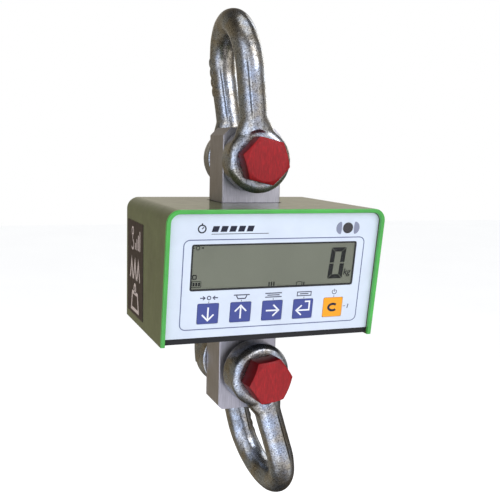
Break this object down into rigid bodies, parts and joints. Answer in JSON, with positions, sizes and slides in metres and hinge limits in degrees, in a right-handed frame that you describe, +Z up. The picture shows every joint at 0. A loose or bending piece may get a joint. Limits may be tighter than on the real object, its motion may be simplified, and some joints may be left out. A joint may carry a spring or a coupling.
{
  "type": "crane scale",
  "caption": "Load-cell plate between two bow shackles on hexagon-head bolts, carrying a wedge-fronted display casing with a wide reading window and membrane keys.",
  "frame": {"origin": "where the crane's hook bears, on the inside of the upper bow's crown", "axes": "+Z up along the line of pull, -Y towards the reader of the display, +X to the reader's right"},
  "size_m": [0.1924, 0.1745, 0.4541],
  "materials": {
    "zinc_forging": "mottled zinc plating on a forging",
    "red_paint": "red enamel, half gloss",
    "zinc_wire": "bright zinc",
    "zinc_sheet": "zinc-plated sheet",
    "nickel_plate": "nickel-plated milled steel",
    "gauge_foil": "foil",
    "nickel_brass": "nickel-plated brass",
    "black_sheath": "matt cable sheath",
    "olive_paint": "olive green paint, satin",
    "green_paint": "bright green paint, satin",
    "black_rubber": "matt rubber",
    "black_paint": "black powder coat",
    "white_overlay": "fine-textured polyester film",
    "grey_sheet": "plain aluminium sheet",
    "clear_window": "clear acrylic",
    "lcd_glass": "liquid crystal display",
    "white_diffuser": "milky diffuser",
    "circuit_board": "green solder mask",
    "brass_post": "turned brass",
    "dark_lens": "dark infrared filter",
    "black_plastic": "moulded plastic",
    "battery_wrap": "shrink wrap",
    "grey_ribbon": "ribbon cable sheath",
    "label_film": "dark printed film",
    "blue_key": "printed polyester film",
    "orange_key": "printed polyester film"
  },
  "bodies": {
    "upper_shackle": {"upper_shackle_bow": "zinc_forging"},
    "upper_bolt": {"upper_shackle_bolt": "red_paint", "upper_shackle_nut": "zinc_forging", "upper_split_pin": "zinc_wire"},
    "scale": {"load_cell": "nickel_plate", "gauge_covers": "nickel_plate", "strain_gauges": "gauge_foil", "cable_gland": "nickel_brass", "cell_lead": "black_sheath", "top_brackets": "zinc_sheet", "base_brackets": "zinc_sheet", "bracket_bolts": "zinc_wire", "casing_cover": "olive_paint", "front_trim": "green_paint", "top_seal": "black_rubber", "base_seal": "black_rubber", "base_plate": "black_paint", "base_screws": "zinc_wire", "front_overlay": "white_overlay", "front_plate": "grey_sheet", "front_gasket": "black_rubber", "front_frame": "grey_sheet", "front_screws": "zinc_wire", "display_window": "clear_window", "lcd_panel": "lcd_glass", "lcd_backlight": "white_diffuser", "display_board": "circuit_board", "board_standoffs": "brass_post", "board_screws": "zinc_wire", "key_domes": "gauge_foil", "ir_lens": "dark_lens", "ir_receiver": "black_plastic", "rear_panel": "black_paint", "rear_gasket": "black_rubber", "rear_frame": "grey_sheet", "rear_screws": "zinc_wire", "charge_socket": "black_plastic", "socket_nut": "zinc_wire", "cap_pin": "zinc_wire", "battery_tray": "zinc_sheet", "battery_pack": "battery_wrap", "battery_strap": "black_rubber", "signal_board": "circuit_board", "signal_standoffs": "zinc_wire", "signal_parts": "black_plastic", "board_ribbon": "grey_ribbon", "side_label": "label_film"},
    "lower_shackle": {"lower_shackle_bow": "zinc_forging"},
    "lower_bolt": {"lower_shackle_bolt": "red_paint", "lower_shackle_nut": "zinc_forging", "lower_split_pin": "zinc_wire"},
    "socket_cap": {"charge_cap": "black_rubber"},
    "key_zero": {"key_zero": "blue_key"},
    "key_tare": {"key_tare": "blue_key"},
    "key_menu": {"key_menu": "blue_key"},
    "key_enter": {"key_enter": "blue_key"},
    "key_clear": {"key_clear": "orange_key"}
  },
  "joints": [
    {"name": "upper_bolt_spin", "type": "hinge", "parent": "upper_shackle", "child": "upper_bolt", "pos_m": [0.01544, 0, -0.10801], "axis": [0.0523, 0.9986, 0], "continuous": true},
    {"name": "scale_swing", "type": "hinge", "parent": "upper_shackle", "child": "scale", "pos_m": [0.01544, 0, -0.10801], "axis": [0.0523, 0.9986, 0], "range_deg": [-102.3, 87.7]},
    {"name": "lower_shackle_swing", "type": "hinge", "parent": "scale", "child": "lower_shackle", "pos_m": [0.01544, 0, -0.2997], "axis": [-0.0958, 0.9954, 0], "range_deg": [-79.2, 110.8]},
    {"name": "lower_bolt_spin", "type": "hinge", "parent": "lower_shackle", "child": "lower_bolt", "pos_m": [0.01544, 0, -0.2997], "axis": [-0.0958, 0.9954, 0], "continuous": true},
    {"name": "cap_swing", "type": "hinge", "parent": "scale", "child": "socket_cap", "pos_m": [0.07744, 0.0631, -0.21778], "axis": [1, 0, 0], "range_deg": [0, 110]},
    {"name": "key_zero_press", "type": "slide", "parent": "scale", "child": "key_zero", "axis": [0, 0.9879, 0.1548], "range_m": [0, 0.0005], "stiffness_N_per_m": 400},
    {"name": "key_tare_press", "type": "slide", "parent": "scale", "child": "key_tare", "axis": [0, 0.9879, 0.1548], "range_m": [0, 0.0005], "stiffness_N_per_m": 400},
    {"name": "key_menu_press", "type": "slide", "parent": "scale", "child": "key_menu", "axis": [0, 0.9879, 0.1548], "range_m": [0, 0.0005], "stiffness_N_per_m": 400},
    {"name": "key_enter_press", "type": "slide", "parent": "scale", "child": "key_enter", "axis": [0, 0.9879, 0.1548], "range_m": [0, 0.0005], "stiffness_N_per_m": 400},
    {"name": "key_clear_press", "type": "slide", "parent": "scale", "child": "key_clear", "axis": [0, 0.9879, 0.1548], "range_m": [0, 0.0005], "stiffness_N_per_m": 400}
  ]
}
